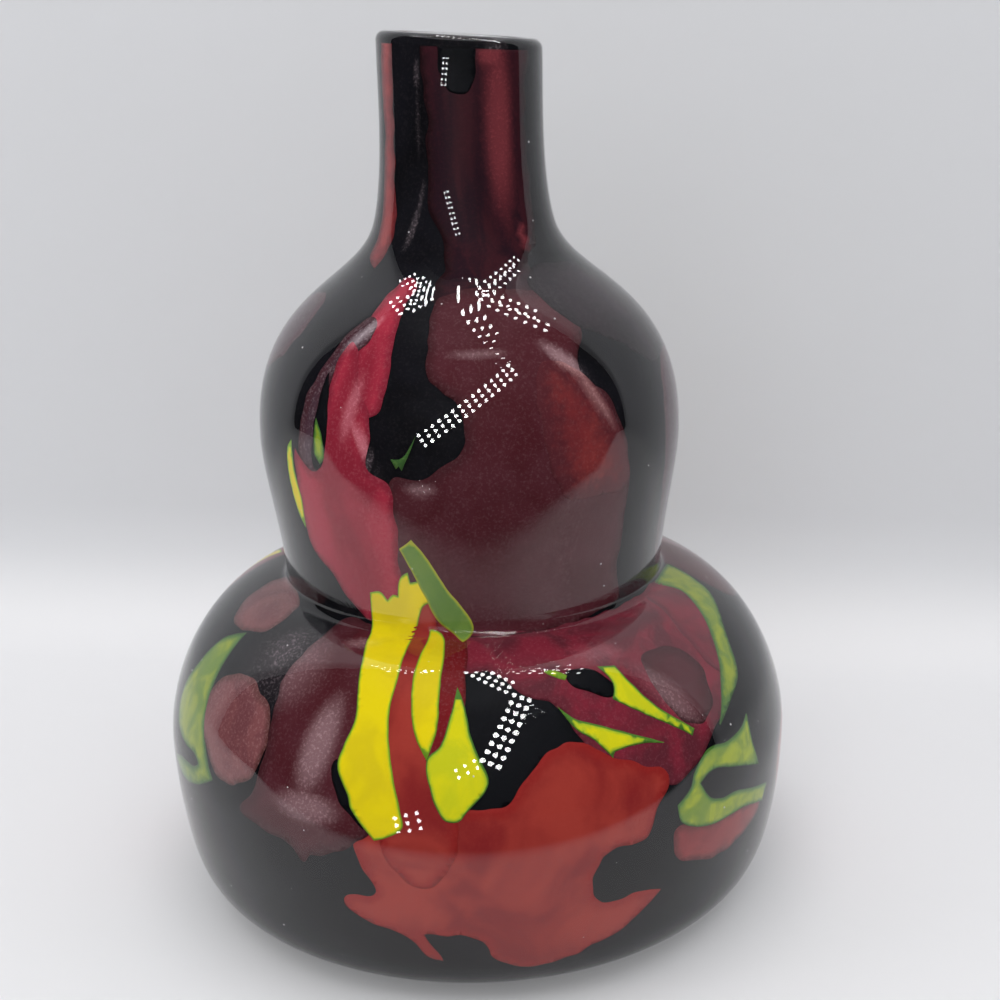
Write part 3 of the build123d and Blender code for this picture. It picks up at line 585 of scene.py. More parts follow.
# Outlines of the chips, first the ones that lie on top. Each point is a turn in degrees
# round the vase from the front and a share of the way up the coat from foot to lip.
chipOutlines = {
    # the front of the lower bulb
    "greenStrip": [(-19, .535), (-15.5, .545), (-12, .53), (-7, .5), (.5, .46), (-2.5, .44),
        (-5, .452), (-10, .468), (-13, .49), (-16.5, .517)],
    "yellowFinger": [(-12, .457), (-8.5, .452), (-7, .432), (-6.7, .4), (-6.5, .35), (-8, .325),
        (-10, .34), (-11.5, .36), (-12.8, .4)],
    "yellowWing": [(-30, .487), (-26.5, .489), (-24.5, .482), (-22.5, .488), (-21, .487),
        (-20, .505), (-17.5, .512), (-16.8, .502), (-14, .505), (-11.5, .484), (-14, .478),
        (-16.5, .447), (-16.5, .42), (-16, .39), (-16, .365), (-15, .334), (-13.5, .306),
        (-12, .28), (-12, .266), (-16.5, .255), (-18, .263), (-20.5, .278), (-21.5, .29),
        (-24, .312), (-23.5, .328), (-22.5, .353), (-24, .38), (-26, .405), (-30, .45)],
    "limePetal": [(-3, .388), (-1.5, .37), (0, .338), (2.5, .309), (2, .3), (-1.2, .283),
        (-2.6, .275), (-5, .277), (-7.5, .305), (-8, .325), (-5.7, .337), (-4.3, .36)],
    "wineTongue": [(-10.5, .476), (-3, .458), (-1, .42), (-1.5, .4), (-1.5, .37), (-4, .342),
        (-6.5, .322), (-7.5, .318), (-9.2, .338), (-9.7, .36), (-9.7, .43)],
    "redTongue": [(-15, .485), (-12.5, .492), (-9.5, .47), (-9, .43), (-8, .37), (-6.5, .325),
        (-5.5, .305), (-3, .28), (-3, .249), (-5, .228), (-8, .215), (-12, .222), (-15.5, .25),
        (-15, .27), (-17.5, .334), (-18.5, .39), (-18.5, .447)],
    "limeWedge": [(16.5, .363), (19.3, .35), (24.5, .339), (35.5, .312), (30.5, .3175),
        (25.3, .317), (24.7, .312), (22, .33), (19, .342)],
    "yellowSplinter": [(15.8, .397), (18, .396), (20.5, .389), (19.7, .385), (16.5, .393)],
    "limeSpoon": [(28, .391), (32, .388), (33, .372), (36.5, .343), (43, .313), (42, .308),
        (39, .32), (32.5, .343), (28, .36), (29.5, .373)],
    "blackChip": [(21, .394), (27, .388), (29.5, .373), (28, .362), (23.5, .371), (20, .385)],
    "greenHook": [(71, .447), (82, .443), (90, .432), (84, .41), (80, .392), (73, .377), (67, .36),
        (61.5, .33), (55.5, .318), (49.5, .304), (54, .33), (57, .345), (62, .37), (66.5, .39),
        (69.5, .403), (72.5, .42)],
    "crimsonPanel": [(63, .448), (73, .445), (75, .42), (72, .401), (68.5, .386), (63.5, .366),
        (57.5, .34), (54.5, .358), (54.5, .385), (57, .412)],
    "limeScroll": [(58.5, .297), (58, .273), (59.5, .247), (50, .265), (45, .272), (41.5, .266),
        (43.5, .249), (47, .241), (51, .239), (59, .225), (64, .217), (62.5, .202), (54, .217),
        (45, .221), (40.5, .227), (36.5, .24), (36, .255), (39, .264), (41, .279), (45, .29),
        (50, .287), (55, .289)],
    "greenCrescent": [(-63, .385), (-69, .367), (-72, .335), (-74.5, .3), (-72, .275), (-65, .267),
        (-60, .268), (-58, .262), (-60, .255), (-68, .248), (-72, .238), (-66, .232), (-58, .243),
        (-52.5, .258), (-55, .272), (-58.5, .298), (-60, .315), (-61.5, .342)],
    "mauveOval": [(39, .385), (45, .39), (50, .38), (52, .355), (50, .328), (46, .315),
        (41.5, .322), (38.5, .35)],
    "maroonLeaf": [(-68, .453), (-61, .437), (-57.5, .415), (-58, .397), (-63, .387), (-69, .381),
        (-76, .39), (-82, .412), (-84, .443)],
    "blackBarb": [(-25, .307), (-23.8, .316), (-20, .285), (-18, .262), (-20.5, .27),
        (-23.2, .287)],
    "maroonCloud": [(-51, .357), (-56, .352), (-60, .335), (-60, .3), (-56, .282), (-52, .267),
        (-47, .265), (-41, .285), (-40, .328), (-46, .35)],
    "maroonCloak": [(-41, .449), (-27, .449), (-26, .43), (-22.5, .39), (-20.5, .35), (-21, .31),
        (-18, .275), (-17, .26), (-19.5, .25), (-24.5, .236), (-28.5, .229), (-30, .219),
        (-32, .232), (-37, .238), (-44, .247), (-42, .26), (-40, .28), (-40, .33), (-42, .37),
        (-41, .42)],
    "redFront": [(-20, .252), (-18.5, .225), (-17, .203), (-22, .195), (-21.5, .18), (-16, .17),
        (-12, .16), (-9, .143), (-6, .136), (-7.5, .15), (-9, .165), (0, .162), (2.5, .14),
        (7, .125), (15, .128), (21, .14), (27, .152), (33, .178), (28, .182), (22, .18),
        (19.5, .197), (20, .22), (23, .234), (29, .236), (31.5, .26), (35, .285), (30, .3),
        (24.7, .313), (20, .328), (14, .329), (9, .306), (5, .287), (-2.5, .282), (-10, .275),
        (-17, .264)],
    "crimsonShoulder": [(-3, .449), (20, .449), (40, .449), (66, .449), (60, .412), (57, .38),
        (57.5, .34), (52, .314), (47, .3), (42, .286), (36, .274), (30, .292), (24, .306),
        (20, .332), (16, .366), (10, .378), (4, .4), (-2.5, .405)],
    "roseHeel": [(35.5, .232), (41, .227), (48, .222), (56, .216), (61, .205), (58, .19),
        (48, .183), (41, .19), (36, .205)],
    "blackPool": [(-3, .41), (2, .42), (10, .39), (18, .375), (26, .33), (26, .315), (13, .32),
        (8, .295), (3, .278), (-2, .279)],
    # the front of the upper bulb and the neck
    "greenFan": [(-13, .637), (-14.2, .625), (-16.2, .611), (-16.7, .608), (-17.4, .612),
        (-18.2, .609), (-19.6, .617), (-17.4, .617), (-15.6, .621)],
    "limeNeedle": [(-43.5, .643), (-41, .63), (-40, .61), (-41.5, .604), (-43.5, .613)],
    "yellowThread": [(-53.5, .618), (-52.5, .59), (-51, .565), (-52, .537), (-54, .55),
        (-55.5, .58), (-55.5, .61)],
    "blackLens": [(-42, .682), (-40, .66), (-39.5, .64), (-40.5, .604), (-43.5, .6), (-44, .63),
        (-43.5, .66)],
    "redBand": [(-38, .712), (-33, .693), (-31, .672), (-27, .655), (-25.5, .633), (-26.5, .607),
        (-20.5, .592), (-19, .571), (-19.5, .53), (-20, .49), (-20, .458), (-32, .458), (-39, .48),
        (-45, .502), (-51, .52), (-51.5, .56), (-51.5, .612), (-46, .598), (-42, .6), (-41, .64),
        (-40.5, .69)],
    "mauveRibbon": [(-34, .738), (-40, .728), (-43, .706), (-45.5, .685), (-48, .665), (-49.5, .64),
        (-50, .612), (-46, .595), (-41.5, .6), (-40.5, .635), (-41, .655), (-40, .675), (-38, .695),
        (-34, .706), (-31.5, .718)],
    "mauveShoulder": [(33, .785), (34.5, .75), (39, .73), (43, .718), (54, .697), (68, .672),
        (82, .685), (88, .72), (80, .765), (62, .79)],
    "redPanel": [(24, .695), (33, .685), (38, .668), (42.5, .64), (45.5, .61), (46, .578),
        (35, .573), (26.5, .578), (22.5, .6), (20, .64), (19.5, .67)],
    "maroonBody": [(-9.5, .765), (36, .765), (38, .742), (42, .722), (36, .7), (35, .68), (41, .66),
        (44, .635), (46.5, .6), (47, .55), (46.5, .5), (47, .458), (-23, .458), (-22, .53),
        (-21.5, .571), (-20, .598), (-10.5, .602), (-4.5, .615), (0, .635), (-3, .665), (-10, .685),
        (-11.5, .71)],
    "blackWedge": [(-13, 1), (-1, 1), (10.5, 1), (9.5, .957), (-10, .954)],
    "maroonNeck": [(-9.5, .755), (34, .755), (37, .8), (52, .82), (57, .86), (56, .95), (57, 1),
        (17, 1), (-24, 1), (-25, .93), (-24, .86), (-14, .83), (-11, .8)],
    "roseNeck": [(-58, 1), (-59, .93), (-57, .87), (-52, .83), (-54, .79), (-66, .8), (-72, .85),
        (-74, .92), (-73, 1)],
    "redSheen": [(-22, .775), (-24, .75), (-22, .7), (-23, .655), (-29, .65), (-34, .68),
        (-36.5, .7), (-36.5, .73), (-34, .765), (-29, .785)],
    # the right side, the back and the left side of the lower bulb
    "maroonSide": [(94, .445), (118, .45), (134, .43), (139, .39), (128, .365), (117, .352),
        (106, .362), (96, .35), (86, .37), (84, .4)],
    "redHeel": [(72, .235), (84, .257), (98, .25), (109, .222), (112, .185), (100, .155), (86, .15),
        (75, .178)],
    "yellowBlade": [(158, .447), (166, .44), (169.5, .41), (167, .37), (171, .33), (176, .29),
        (174, .25), (167, .216), (161, .23), (158, .27), (153, .3), (155, .34), (153, .38),
        (152, .42)],
    "greenLeaf": [(182, .42), (189, .43), (196, .405), (201, .36), (206, .305), (201, .308),
        (195, .337), (190, .367), (184, .385)],
    "limeComma": [(226, .35), (236, .366), (246, .35), (252, .31), (249, .27), (241, .257),
        (243.5, .29), (240, .318), (232, .327), (225, .33)],
    "redBack": [(120, .3), (126, .343), (139, .362), (152, .35), (163, .36), (178, .342),
        (190, .305), (197, .25), (188, .21), (176, .19), (168, .2), (158, .175), (143, .165),
        (131, .18), (127, .21), (117, .245)],
    "yellowHook": [(246, .4), (250.5, .412), (254, .37), (254.5, .33), (252, .29), (248, .29),
        (249, .33), (247.5, .362)],
    "crimsonBack": [(200, .442), (222, .449), (243, .442), (258, .4), (262, .35), (257, .3),
        (244, .27), (231, .28), (221, .257), (212, .27), (203, .3), (198.5, .355), (193, .4)],
    "roseBack": [(205, .24), (222, .235), (238, .215), (241, .17), (226, .142), (208, .15),
        (199, .19)],
    "redSide": [(248, .245), (262, .252), (275, .236), (283, .205), (279, .17), (266, .152),
        (252, .163), (246, .2)],
    # the same sides of the upper bulb and the neck
    "mauveSide": [(70, .658), (84, .672), (98, .65), (102, .58), (96, .52), (88, .475), (74, .47),
        (69, .53), (66, .6)],
    "yellowChip": [(140, .66), (150, .675), (158, .655), (155, .615), (148, .585), (143, .6),
        (141.5, .63)],
    "greenChip": [(156, .658), (167, .65), (173, .62), (170, .57), (163, .545), (161, .58),
        (153, .607)],
    "maroonBack": [(104, .68), (110, .73), (126, .762), (150, .768), (178, .76), (196, .73),
        (202, .68), (196, .63), (187, .58), (181, .52), (176, .465), (122, .465), (115, .53),
        (111, .6)],
    "limeSplinter": [(222, .66), (228, .665), (230.5, .62), (226, .575), (221, .605)],
    "redSail": [(212, .72), (228, .735), (243, .71), (250, .66), (247, .6), (240, .54), (236, .475),
        (214, .47), (209, .53), (205, .6), (205, .67)],
    "mauveFlank": [(-100, .7), (-88, .735), (-72, .745), (-66, .725), (-68, .69), (-80, .665),
        (-93, .66)],
    "maroonNape": [(100, .81), (120, .8), (150, .803), (168, .83), (172, .87), (169, .93), (172, 1),
        (98, 1), (101, .93), (96, .87)],
    "redNape": [(205, .83), (222, .815), (239, .83), (243, .9), (238, 1), (204, 1), (208, .91)],
}

chipLook = {
    "edgeStep": 0.9,
    "spacing": 1.7,
    "ragged": {"shard": 0.16, "powder": 0.9},
    "raggedLength": {"shard": 3.2, "powder": 5.0},
    "lift": 0.06,
    "liftStep": 0.035,
    "bed": 0.35,
    "sharpCorner": {"shard": 118, "powder": 60},
    "highest": 0.9895,
    "merge": 1e-5,
    "seedStep": 7.3,
    "swayGap": 5.1,
}
# the glass of a chip is the first word of its name, save for these
chipGlasses = {
    "redFront": "flame", "redBack": "flame", "redHeel": "flame", "redTongue": "flame",
    "redBand": "band", "redPanel": "panel", "redSail": "band", "redSheen": "band",
    "limePetal": "lemon", "limeWedge": "lemon", "limeSpoon": "lemon", "greenStrip": "moss",
    "maroonNeck": "neck", "maroonNape": "neck", "redNape": "panel", "maroonCloud": "clay",
    "maroonLeaf": "clay", "mauveShoulder": "smoke", "mauveOval": "maroon",
}
shardGlasses = ("yellow", "lemon", "lime", "green", "moss", "wine")


def outlineInPlane(points, radius):
    return [Vector((math.radians(turn) * radius, share * coatLength)) for turn, share in points]


def softened(corners, seed, kind):
    # a smooth run through the corners that stays pointed where a corner is sharp
    count = len(corners)
    ways = []
    for k, corner in enumerate(corners):
        before, after = corners[k - 1] - corner, corners[(k + 1) % count] - corner
        pointed = math.degrees(before.angle(after)) < chipLook["sharpCorner"][kind]
        ways.append(Vector((0, 0)) if pointed else (after - before).normalized())
    line = []
    for k, corner in enumerate(corners):
        after = corners[(k + 1) % count]
        reach = (after - corner).length
        parts = max(2, round(reach / chipLook["edgeStep"]))
        for step in range(parts):
            t = step / parts
            s = 1 - t
            point = corner * (s * s * (1 + 2 * t)) + after * (t * t * (3 - 2 * t))
            point += ways[k] * (reach * t * s * s) - ways[(k + 1) % count] * (reach * t * t * s)
            where = Vector((point.x, point.y, seed * chipLook["seedStep"]))
            where /= chipLook["raggedLength"][kind]
            aside = where + Vector((0, 0, chipLook["swayGap"]))
            sway = Vector((noise.noise(where), noise.noise(aside)))
            line.append(point + sway * chipLook["ragged"][kind])
    return line


def distanceTo(point, line):
    nearest = math.inf
    for a, b in zip(line, line[1:] + line[:1]):
        along = b - a
        share = 0
        if along.length_squared:
            share = min(1, max(0, (point - a).dot(along) / along.length_squared))
        nearest = min(nearest, (point - a - along * share).length_squared)
    return math.sqrt(nearest)


def spread(points):
    turns, shares = zip(*points)
    return min(turns), max(turns), min(shares), max(shares)


# chips whose outlines come this near are laid in different layers
near = {"turn": 1, "share": 0.01}


def overlap(first, second):
    a, b = spread(first), spread(second)
    return (a[0] < b[1] + near["turn"] and b[0] < a[1] + near["turn"]
            and a[2] < b[3] + near["share"] and b[2] < a[3] + near["share"])


chipNames = list(chipOutlines)
layers = {}
for k, name in reversed(list(enumerate(chipNames))):
    under = [layers[lower] for lower in chipNames[k + 1:]
             if overlap(chipOutlines[name], chipOutlines[lower])]
    layers[name] = 1 + max(under, default=0)


def nodeName(chipName):
    return "".join("_" + letter.lower() if letter.isupper() else letter for letter in chipName)


def flatMesh(line):
    # the outline filled with triangles over a staggered grid, as places and triangles
    step = chipLook["spacing"]
    low = Vector((min(p.x for p in line), min(p.y for p in line)))
    high = Vector((max(p.x for p in line), max(p.y for p in line)))
    inner = []
    for row in range(int((high.y - low.y) / step) + 1):
        for column in range(int((high.x - low.x) / step) + 1):
            inner.append(low + Vector((column + 0.5 * (row % 2), row + 0.5)) * step)
    flat = [p.copy() for p in line] + inner
    border = [list(range(len(line)))]
    made = geometry.delaunay_2d_cdt(flat, [], border, 1, chipLook["merge"])
    places, triangles = made[0], made[2]
    used = sorted({k for triangle in triangles for k in triangle})
    index = {k: n for n, k in enumerate(used)}
    return [places[k] for k in used], [tuple(index[k] for k in t) for t in triangles]


def layChip(name, seed):
    # one chip as a thin closed plate that follows the coat's curve
    points = chipOutlines[name]
    _, _, lowShare, highShare = spread(points)
    radius = placeOn(coatLine, (lowShare + highShare) / 2).x
    glass = chipGlasses.get(name, re.match("[a-z]+", name).group())
    kind = "shard" if glass in shardGlasses else "powder"
    line = softened(outlineInPlane(points, radius), seed, kind)
    places, triangles = flatMesh(line)
    lift = chipLook["lift"] + chipLook["liftStep"] * layers[name]
    faceLine = wallLine(coatDepth - lift, outline["height"])
    bedLine = wallLine(coatDepth + chipLook["bed"], outline["height"])
    top, bed, grainAndSheenValues, edges = [], [], [], []
    for place in places:
        turn, share = math.degrees(place.x / radius), place.y / coatLength
        for bodyLine, bodyPoints in ((faceLine, top), (bedLine, bed)):
            spot = placeOn(bodyLine, min(share, chipLook["highest"]))
            bodyPoints.append(handMade(turned(spot.x, spot.y, turn)))
        grainAndSheenValues.append(grainAt(turn, share))
        edges.append(distanceTo(place, line))
    count = len(top)
    faces = triangles + [(c + count, b + count, a + count) for a, b, c in triangles]
    sides = {}
    for a, b, c in triangles:
        sides.update(dict.fromkeys(((a, b), (b, c), (c, a))))
    for a, b in sides:
        if (b, a) not in sides:
            faces.append((b, a, a + count, b + count))
    chip = meshObject(name, top + bed, faces, glasses[glass])
    # painted sheen and grain strength at each point of the chip, on its face and its bed
    markPoints(chip, "grainAndSheen", grainAndSheenValues + grainAndSheenValues)
    markPoints(chip, "edge", edges + edges)
    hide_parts(nodeName(name))
    re.match("[a-z]+", name).group() + "_glass"
    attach(chip, "root")


for seed, name in enumerate(chipNames):
    layChip(name, seed)
print("chips laid", len(chipNames), "in", max(layers.values()), "layers")

bubbles = {
    "count": 150, "wallArea": 0.15, "smallest": 0.09, "largest": 0.3, "depth": 1.6, "below": 1,
    "skip": 2, "seed": 4, "segments": 96, "trianglesEach": 80,
}


def seedBubbles():
    # tiny gas seeds, scattered over a surface in the middle of the clear gather
    material, tree = newMaterial("gasSeedInGlass")
    gas = addNode(tree, "ShaderNodeBsdfPrincipled", Base_Color=hexColour("#c9c4c6"),
                  Roughness=0.25, Specular_IOR_Level=0.6)
    dress(tree, gas.outputs[0])
    line = wallLine(bubbles["depth"], layerTop - bubbles["below"])[bubbles["skip"]:]
    carrier = spinLine("seedBubbles", line, material, bubbles["segments"])
    group = bpy.data.node_groups.new("scatterSeeds", "GeometryNodeTree")
    for side in ("INPUT", "OUTPUT"):
        group.interface.new_socket("Geometry", in_out=side, socket_type="NodeSocketGeometry")
    scatter = addNode(group, "GeometryNodeDistributePointsOnFaces",
                      {"distribute_method": "RANDOM"},
                      Mesh=addNode(group, "NodeGroupInput").outputs["Geometry"],
                      Density=bubbles["count"] / bubbles["wallArea"], Seed=bubbles["seed"])
    ball = addNode(group, "GeometryNodeMeshIcoSphere", Radius=1.0, Subdivisions=2)
    size = addNode(group, "FunctionNodeRandomValue", {"data_type": "FLOAT"},
                   _2=bubbles["smallest"] * mm, _3=bubbles["largest"] * mm,
                   Seed=bubbles["seed"] + 1)
    placed = addNode(group, "GeometryNodeInstanceOnPoints", Points=scatter.outputs["Points"],
                     Instance=ball.outputs["Mesh"], Scale=size.outputs[1])
    real = addNode(group, "GeometryNodeRealizeInstances", Geometry=placed.outputs["Instances"])
    painted = addNode(group, "GeometryNodeSetMaterial", Geometry=real.outputs[0],
                      Material=material)
    addNode(group, "NodeGroupOutput", Geometry=painted.outputs[0])
    carrier.modifiers.new("seeds", "NODES").node_group = group
    view = carrier.evaluated_get(bpy.context.evaluated_depsgraph_get())
    mesh = bpy.data.meshes.new_from_object(view)
    carrier.modifiers.clear()
    carrier.data = mesh
    mesh.shade_smooth()
    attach(carrier, "root")
    print("gas seeds", len(mesh.polygons) // bubbles["trianglesEach"])


seedBubbles()

camera = {
    "place": (0.00819, -0.41907, 0.24946), "down": 17.895, "roll": -1.289, "lens": 54,
    "sensor": 36, "clip": (0.01, 20),
}


def placeCamera():
    data = bpy.data.cameras.new("camera")
    data.lens, data.sensor_width = camera["lens"], camera["sensor"]
    data.clip_start, data.clip_end = camera["clip"]
    made = addObject("camera", data)
    made.rotation_mode = "QUATERNION"
    tilt = Matrix.Rotation(math.radians(90 - camera["down"]), 3, "X")
    roll = Matrix.Rotation(math.radians(camera["roll"]), 3, "Z")
    made.rotation_quaternion = (tilt @ roll).to_quaternion()
    made.location = camera["place"]
    bpy.context.scene.camera = made


placeCamera()

# The card sweep that the vase stands on, in metres
sweep = {
    "back": 0.186, "yaw": -7.3, "curve": 0.05, "curveSteps": 10, "wide": 1.6, "front": -1.6,
    "slantFrom": -0.3, "high": 1.5, "floor": "#e4e4e6", "wall": "#d2d3d6", "wallFrom": 0.035,
    "floorEnds": -0.2, "endSoft": 0.03, "dark": "#2a2a2c",
}


def paleSweep():
    material, tree = newMaterial("paleCardSweep")
    place = addNode(tree, "ShaderNodeTexCoord").outputs["Object"]
    split = addNode(tree, "ShaderNodeSeparateXYZ", Vector=place)
    up = smoothStep(tree, split.outputs["Z"], 0.0, sweep["wallFrom"])
    card = mixColour(tree, up, sweep["floor"], sweep["wall"])
    paper = addNode(tree, "ShaderNodeBsdfDiffuse", Color=card).outputs[0]
    # seen in the glass, the card ends a little in front of the vase and the dim room begins
    past = smoothStep(tree, split.outputs["Y"], sweep["floorEnds"] - sweep["endSoft"],
                      sweep["floorEnds"] + sweep["endSoft"])
    inGlass = addNode(tree, "ShaderNodeLightPath").outputs["Is Glossy Ray"]
    dimmed = maths(tree, "MULTIPLY", maths(tree, "SUBTRACT", 1.0, past), inGlass)
    dark = addNode(tree, "ShaderNodeBsdfDiffuse", Color=hexColour(sweep["dark"])).outputs[0]
    dress(tree, oneSided(tree, mixShader(tree, dimmed, paper, dark)))
    curve = sweep["curve"]
    curveStart = sweep["back"] - curve
    profile = [(sweep["front"], 0), (sweep["slantFrom"], 0), (curveStart, 0)]
    for step in range(1, sweep["curveSteps"] + 1):
        angle = math.radians(90 * step / sweep["curveSteps"])
        profile.append((curveStart + curve * math.sin(angle), curve * (1 - math.cos(angle))))
    profile.append((sweep["back"], sweep["high"]))
    yaw = math.tan(math.radians(sweep["yaw"]))
    points, faces = [], []
    for away, high in profile:
        for side in (-sweep["wide"], sweep["wide"]):
            slant = side * yaw * blend(sweep["slantFrom"], curveStart, away)
            points.append((side / mm, (away + slant) / mm, high / mm))
    for k in range(0, 2 * len(profile) - 2, 2):
        faces.append((k, k + 1, k + 3, k + 2))
    made = meshObject("paleSweep", points, faces, material)


paleSweep()

# Soft lamps: where each one hangs, what it faces, its two sides in metres and its watts
softLamps = {
    "topLight": ((0, -0.1, 1.1), (0, 0, 0.1), (0.9, 0.9), 6.6),
    "frontLight": ((-0.25, -1.2, 0.7), (0, 0, 0.12), (0.9, 0.7), 3.6),
    "leftLight": ((-1.1, -0.2, 0.6), (0, 0, 0.1), (0.6, 0.8), 2.6),
    "rightLight": ((1.1, -0.3, 0.6), (0, 0, 0.1), (0.6, 0.8), 2.2),
}


def hangLamps():
    for name, (place, aim, size, watts) in softLamps.items():
        lamp = bpy.data.lights.new(name, "AREA")
        lamp.shape = "RECTANGLE"
        lamp.size, lamp.size_y = size
        lamp.energy = watts
        made = addObject(name, lamp)
        made.location = place
        made.rotation_mode = "QUATERNION"
        made.rotation_quaternion = (Vector(aim) - Vector(place)).to_track_quat("-Z", "Y")
        made.visible_glossy = False
        made.visible_camera = False


hangLamps()

# The light tent, by the way a ray goes: shares of its length along Y and Z
tent = {
    "dark": "#0d0d0e", "white": "#dcdee1", "pale": "#d9dadc", "plain": 0.45, "rear": (0.52, 0.72),
    "over": (0.86, 0.97), "overShare": 0.14, "wobble": 0.25, "wobbleScale": 2.2,
}


def roomLight():
    # a light tent open to a dim room at the front: white behind, overhead and below
    world = bpy.data.worlds.new("lightTent")
    bpy.context.scene.world = world
    world.use_nodes = True
    tree = world.node_tree
    tree.nodes.clear()
    way = addNode(tree, "ShaderNodeTexCoord").outputs["Generated"]
    split = addNode(tree, "ShaderNodeSeparateXYZ", Vector=way)
    wobble = addNode(tree, "ShaderNodeTexNoise", Vector=way, Scale=tent["wobbleScale"],
                     Detail=2.0)
    back = maths(tree, "MULTIPLY_ADD", wobble.outputs["Fac"], tent["wobble"],
                 split.outputs["Y"])
    rear = smoothStep(tree, back, *tent["rear"])
    over = smoothStep(tree, split.outputs["Z"], *tent["over"], tent["overShare"])
    mirroredTent = mixColour(tree, maths(tree, "MAXIMUM", rear, over), tent["dark"],
                             tent["white"])
    rays = addNode(tree, "ShaderNodeLightPath").outputs
    plain, pale, seen = [
        addNode(tree, "ShaderNodeBackground", Color=colour, Strength=strength).outputs[0]
        for colour, strength in ((hexColour("#ffffff"), tent["plain"]),
                                 (hexColour(tent["pale"]), 1.0), (mirroredTent, 1.0))]
    glossy = mixShader(tree, rays["Is Glossy Ray"], plain, seen)
    either = maths(tree, "MAXIMUM", rays["Is Camera Ray"], rays["Is Transmission Ray"])
    addNode(tree, "ShaderNodeOutputWorld", Surface=mixShader(tree, either, glossy, pale))


roomLight()

# Rows of small lamps in the tent's frame. Each row is given by where the photograph shows it
# mirrored in the clear gather: turn and height of its two ends, lamps along it, rows of it,
# the millimetres between rows and across a lamp's image, how far off the lamp hangs, and
# the part of the vase that its shade keeps it from.
lowerPart, upperPart = Vector((0, -80, 78)), Vector((0, -56, 140))
lampRows = {
    "bulb": ((-10.7, 149), (13, 165), 15, 3, 1.5, 1.05, 300, lowerPart),
    "shoulderLeft": ((-25.5, 178.5), (-15.5, 184), 6, 4, 1.9, 1.0, 300, lowerPart),
    "shoulderRight": ((6, 181), (26, 186.5), 8, 2, 1.9, 1.0, 300, lowerPart),
    "shoulderLow": ((10, 179.5), (27, 173.5), 7, 2, 1.9, 1.0, 300, lowerPart),
    "neck": ((-10, 206), (-3, 195.5), 9, 2, 0.9, 0.55, 3, None),
    "neckTop": ((-10, 233), (-8, 239.5), 6, 2, 0.9, 0.55, 3, None),
    "lowShoulder": ((-3, 91.8), (7.5, 87.6), 9, 3, 1.6, 1.1, 300, upperPart),
    "lowFront": ((9.6, 85.5), (3, 72.5), 9, 3, 2.0, 1.4, 300, upperPart),
    "lowLeft": ((-10.5, 94), (-8.5, 90.5), 3, 3, 1.6, 0.9, 300, upperPart),
    "lowFoot": ((-12, 58.5), (-8.5, 60), 3, 3, 1.9, 1.1, 300, upperPart),
    "lowPetal": ((-2.5, 70.5), (0.5, 72.5), 3, 2, 1.9, 0.9, 300, upperPart),
}
lampLook = {
    "strength": 26, "corners": 8, "leastTurn": 0.24, "firstFound": 4, "belowLip": 0.5,
}
outerLine = wallLine(0, outline["height"] - lampLook["belowLip"])
outerRun = runsAlong(outerLine)


def runTo(height):
    # how far up the outer face's own line this height is, above the foot
    for k in range(lampLook["firstFound"], len(outerLine) - 1):
        low, high = outerLine[k].y, outerLine[k + 1].y
        if low <= height <= high and high > low:
            rise = outerRun[k + 1] - outerRun[k]
            return outerRun[k] + rise * (height - low) / (high - low)
    raise ValueError(height)


def mirrored(turn, reach):
    # where the camera's ray meets this place of the clear face, the way it goes once it is
    # mirrored there, and the face's radius there
    k = max(n for n in range(len(outerLine) - 1) if outerRun[n] <= reach)
    low, high = outerLine[k], outerLine[k + 1]
    share = (reach - outerRun[k]) / (outerRun[k + 1] - outerRun[k])
    spot = low.lerp(high, share)
    before, middle = (low - outerLine[k - 1]).normalized(), (high - low).normalized()
    past = outerLine[min(k + 2, len(outerLine) - 1)] - high
    after = past.normalized() if past.length else middle
    ends = (before + middle).normalized(), (middle + after).normalized()
    along = ends[0].lerp(ends[1], share).normalized()
    angle = math.radians(turn)
    out = Vector((along.y * math.sin(angle), -along.y * math.cos(angle), -along.x))
    place = Vector(turned(spot.x, spot.y, turn)) * mm
    look = (place - Vector(camera["place"])).normalized()
    return place / mm, look - out * (2 * look.dot(out)), spot.x


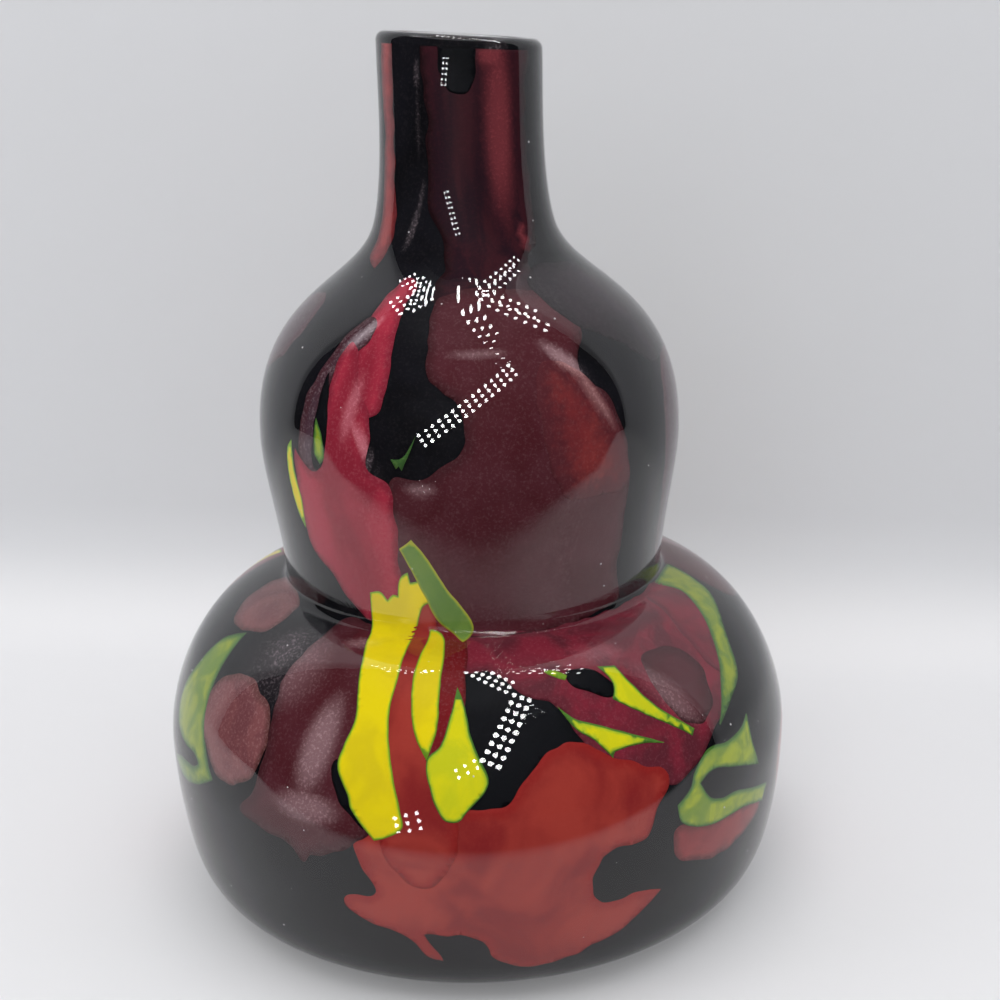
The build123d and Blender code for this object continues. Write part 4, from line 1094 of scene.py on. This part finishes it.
def lampDisc(middle, radius, size, away, hidden):
    # the corners of one lamp, whose mirror image is a disc of this size
    spot, way, _ = mirrored(math.degrees(middle.x / radius), middle.y)
    lamp = spot + way * away
    # it is turned edge on between the place it lights and the one it's kept from
    back = (spot - lamp).normalized()
    facing = back
    if hidden:
        facing = (back - (hidden - lamp).normalized()).normalized()
        short = max(0, lampLook["leastTurn"] - facing.dot(back))
        facing = (facing + back * short).normalized()
    disc = []
    for corner in range(lampLook["corners"]):
        edge = middle + towards(360 * corner / lampLook["corners"], 1) * size / 2
        place, ray, _ = mirrored(math.degrees(edge.x / radius), edge.y)
        disc.append(place + ray * ((lamp - place).dot(facing) / ray.dot(facing)))
    if (disc[2] - disc[0]).cross(disc[4] - disc[0]).dot(facing) < 0:
        disc.reverse()
    return disc


def seenInGlassOnly(made):
    for kind in ("camera", "diffuse", "shadow", "transmission"):
        setattr(made, "visible_" + kind, False)


def smallLamps():
    material, tree = newMaterial("smallLampGlow")
    glow = addNode(tree, "ShaderNodeEmission", Color=hexColour("#ffffff"),
                   Strength=lampLook["strength"])
    dress(tree, oneSided(tree, glow.outputs[0]))
    points = []
    for start, end, count, rows, pitch, size, away, hidden in lampRows.values():
        radius = mirrored(start[0], runTo(start[1]))[2]
        low = Vector((math.radians(start[0]) * radius, runTo(start[1])))
        high = Vector((math.radians(end[0]) * radius, runTo(end[1])))
        cross = (high - low).orthogonal().normalized()
        for row in range(rows):
            for k in range(count):
                aside = cross * ((row - (rows - 1) / 2) * pitch)
                middle = low.lerp(high, k / (count - 1)) + aside
                points += lampDisc(middle, radius, size, away, hidden)
    corners = lampLook["corners"]
    faces = [tuple(range(k, k + corners)) for k in range(0, len(points), corners)]
    seenInGlassOnly(meshObject("smallLamps", points, faces, material, smooth=False))


neckCard = {"half": 30, "front": -33, "low": 193, "high": 264, "colour": "#050505"}


def blackCard():
    # a card before the neck, seen from the neck alone, that keeps the far lamps off it
    material, tree = newMaterial("blackCardMatt")
    matt = addNode(tree, "ShaderNodeBsdfDiffuse", Color=hexColour(neckCard["colour"]))
    dress(tree, oneSided(tree, matt.outputs[0]))
    half, front = neckCard["half"], neckCard["front"]
    low, high = neckCard["low"], neckCard["high"]
    corners = [(-half, front, low), (-half, front, high), (half, front, high),
               (half, front, low)]
    seenInGlassOnly(meshObject("neckCard", corners, [(0, 1, 2, 3)], material, smooth=False))


smallLamps()
blackCard()
print("tent lit")

bpy.context.scene.view_settings.view_transform = "Standard"
